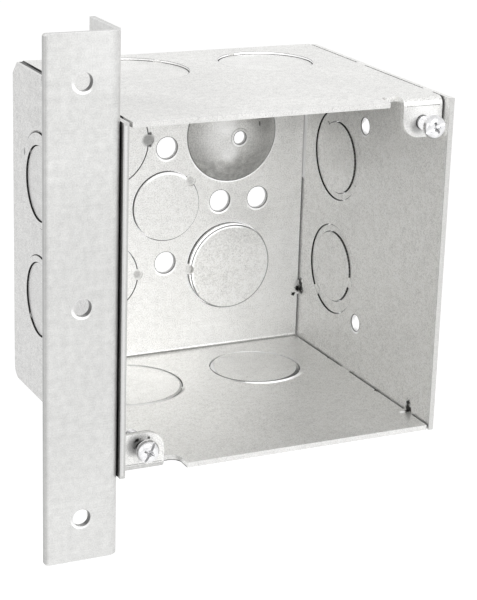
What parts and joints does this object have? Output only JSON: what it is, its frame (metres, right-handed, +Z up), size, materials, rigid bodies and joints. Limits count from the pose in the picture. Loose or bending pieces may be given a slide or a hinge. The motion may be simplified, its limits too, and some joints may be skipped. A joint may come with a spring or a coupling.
{
  "type": "square electrical box",
  "caption": "Square welded steel electrical box with an open front, round knockouts, a raised ground dome, cover ears with pan head screws, and a stud bracket along its side.",
  "frame": {"origin": "centre of the bracket's middle screw hole, on the front face of the bracket's front flange", "axes": "+X across the box away from the bracket, +Y into the box towards its back wall, +Z up along the bracket"},
  "size_m": [0.1241, 0.094, 0.1492],
  "materials": {
    "galvanised_sheet": "galvanised steel sheet, satin, faintly mottled",
    "zinc_plated_screw": "zinc plated steel, bright"
  },
  "bodies": {
    "box": {"box_body": "galvanised_sheet", "left_side": "galvanised_sheet", "right_side": "galvanised_sheet", "stud_bracket": "galvanised_sheet"},
    "upper_screw": {"upper_cover_screw": "zinc_plated_screw"},
    "lower_screw": {"lower_cover_screw": "zinc_plated_screw"}
  },
  "joints": [
    {"name": "upper_screw_travel", "type": "slide", "parent": "box", "child": "upper_screw", "axis": [0, 1, 0], "range_m": [-0.004, 0.0058]},
    {"name": "lower_screw_travel", "type": "slide", "parent": "box", "child": "lower_screw", "axis": [0, 1, 0], "range_m": [-0.007, 0.0023]}
  ]
}
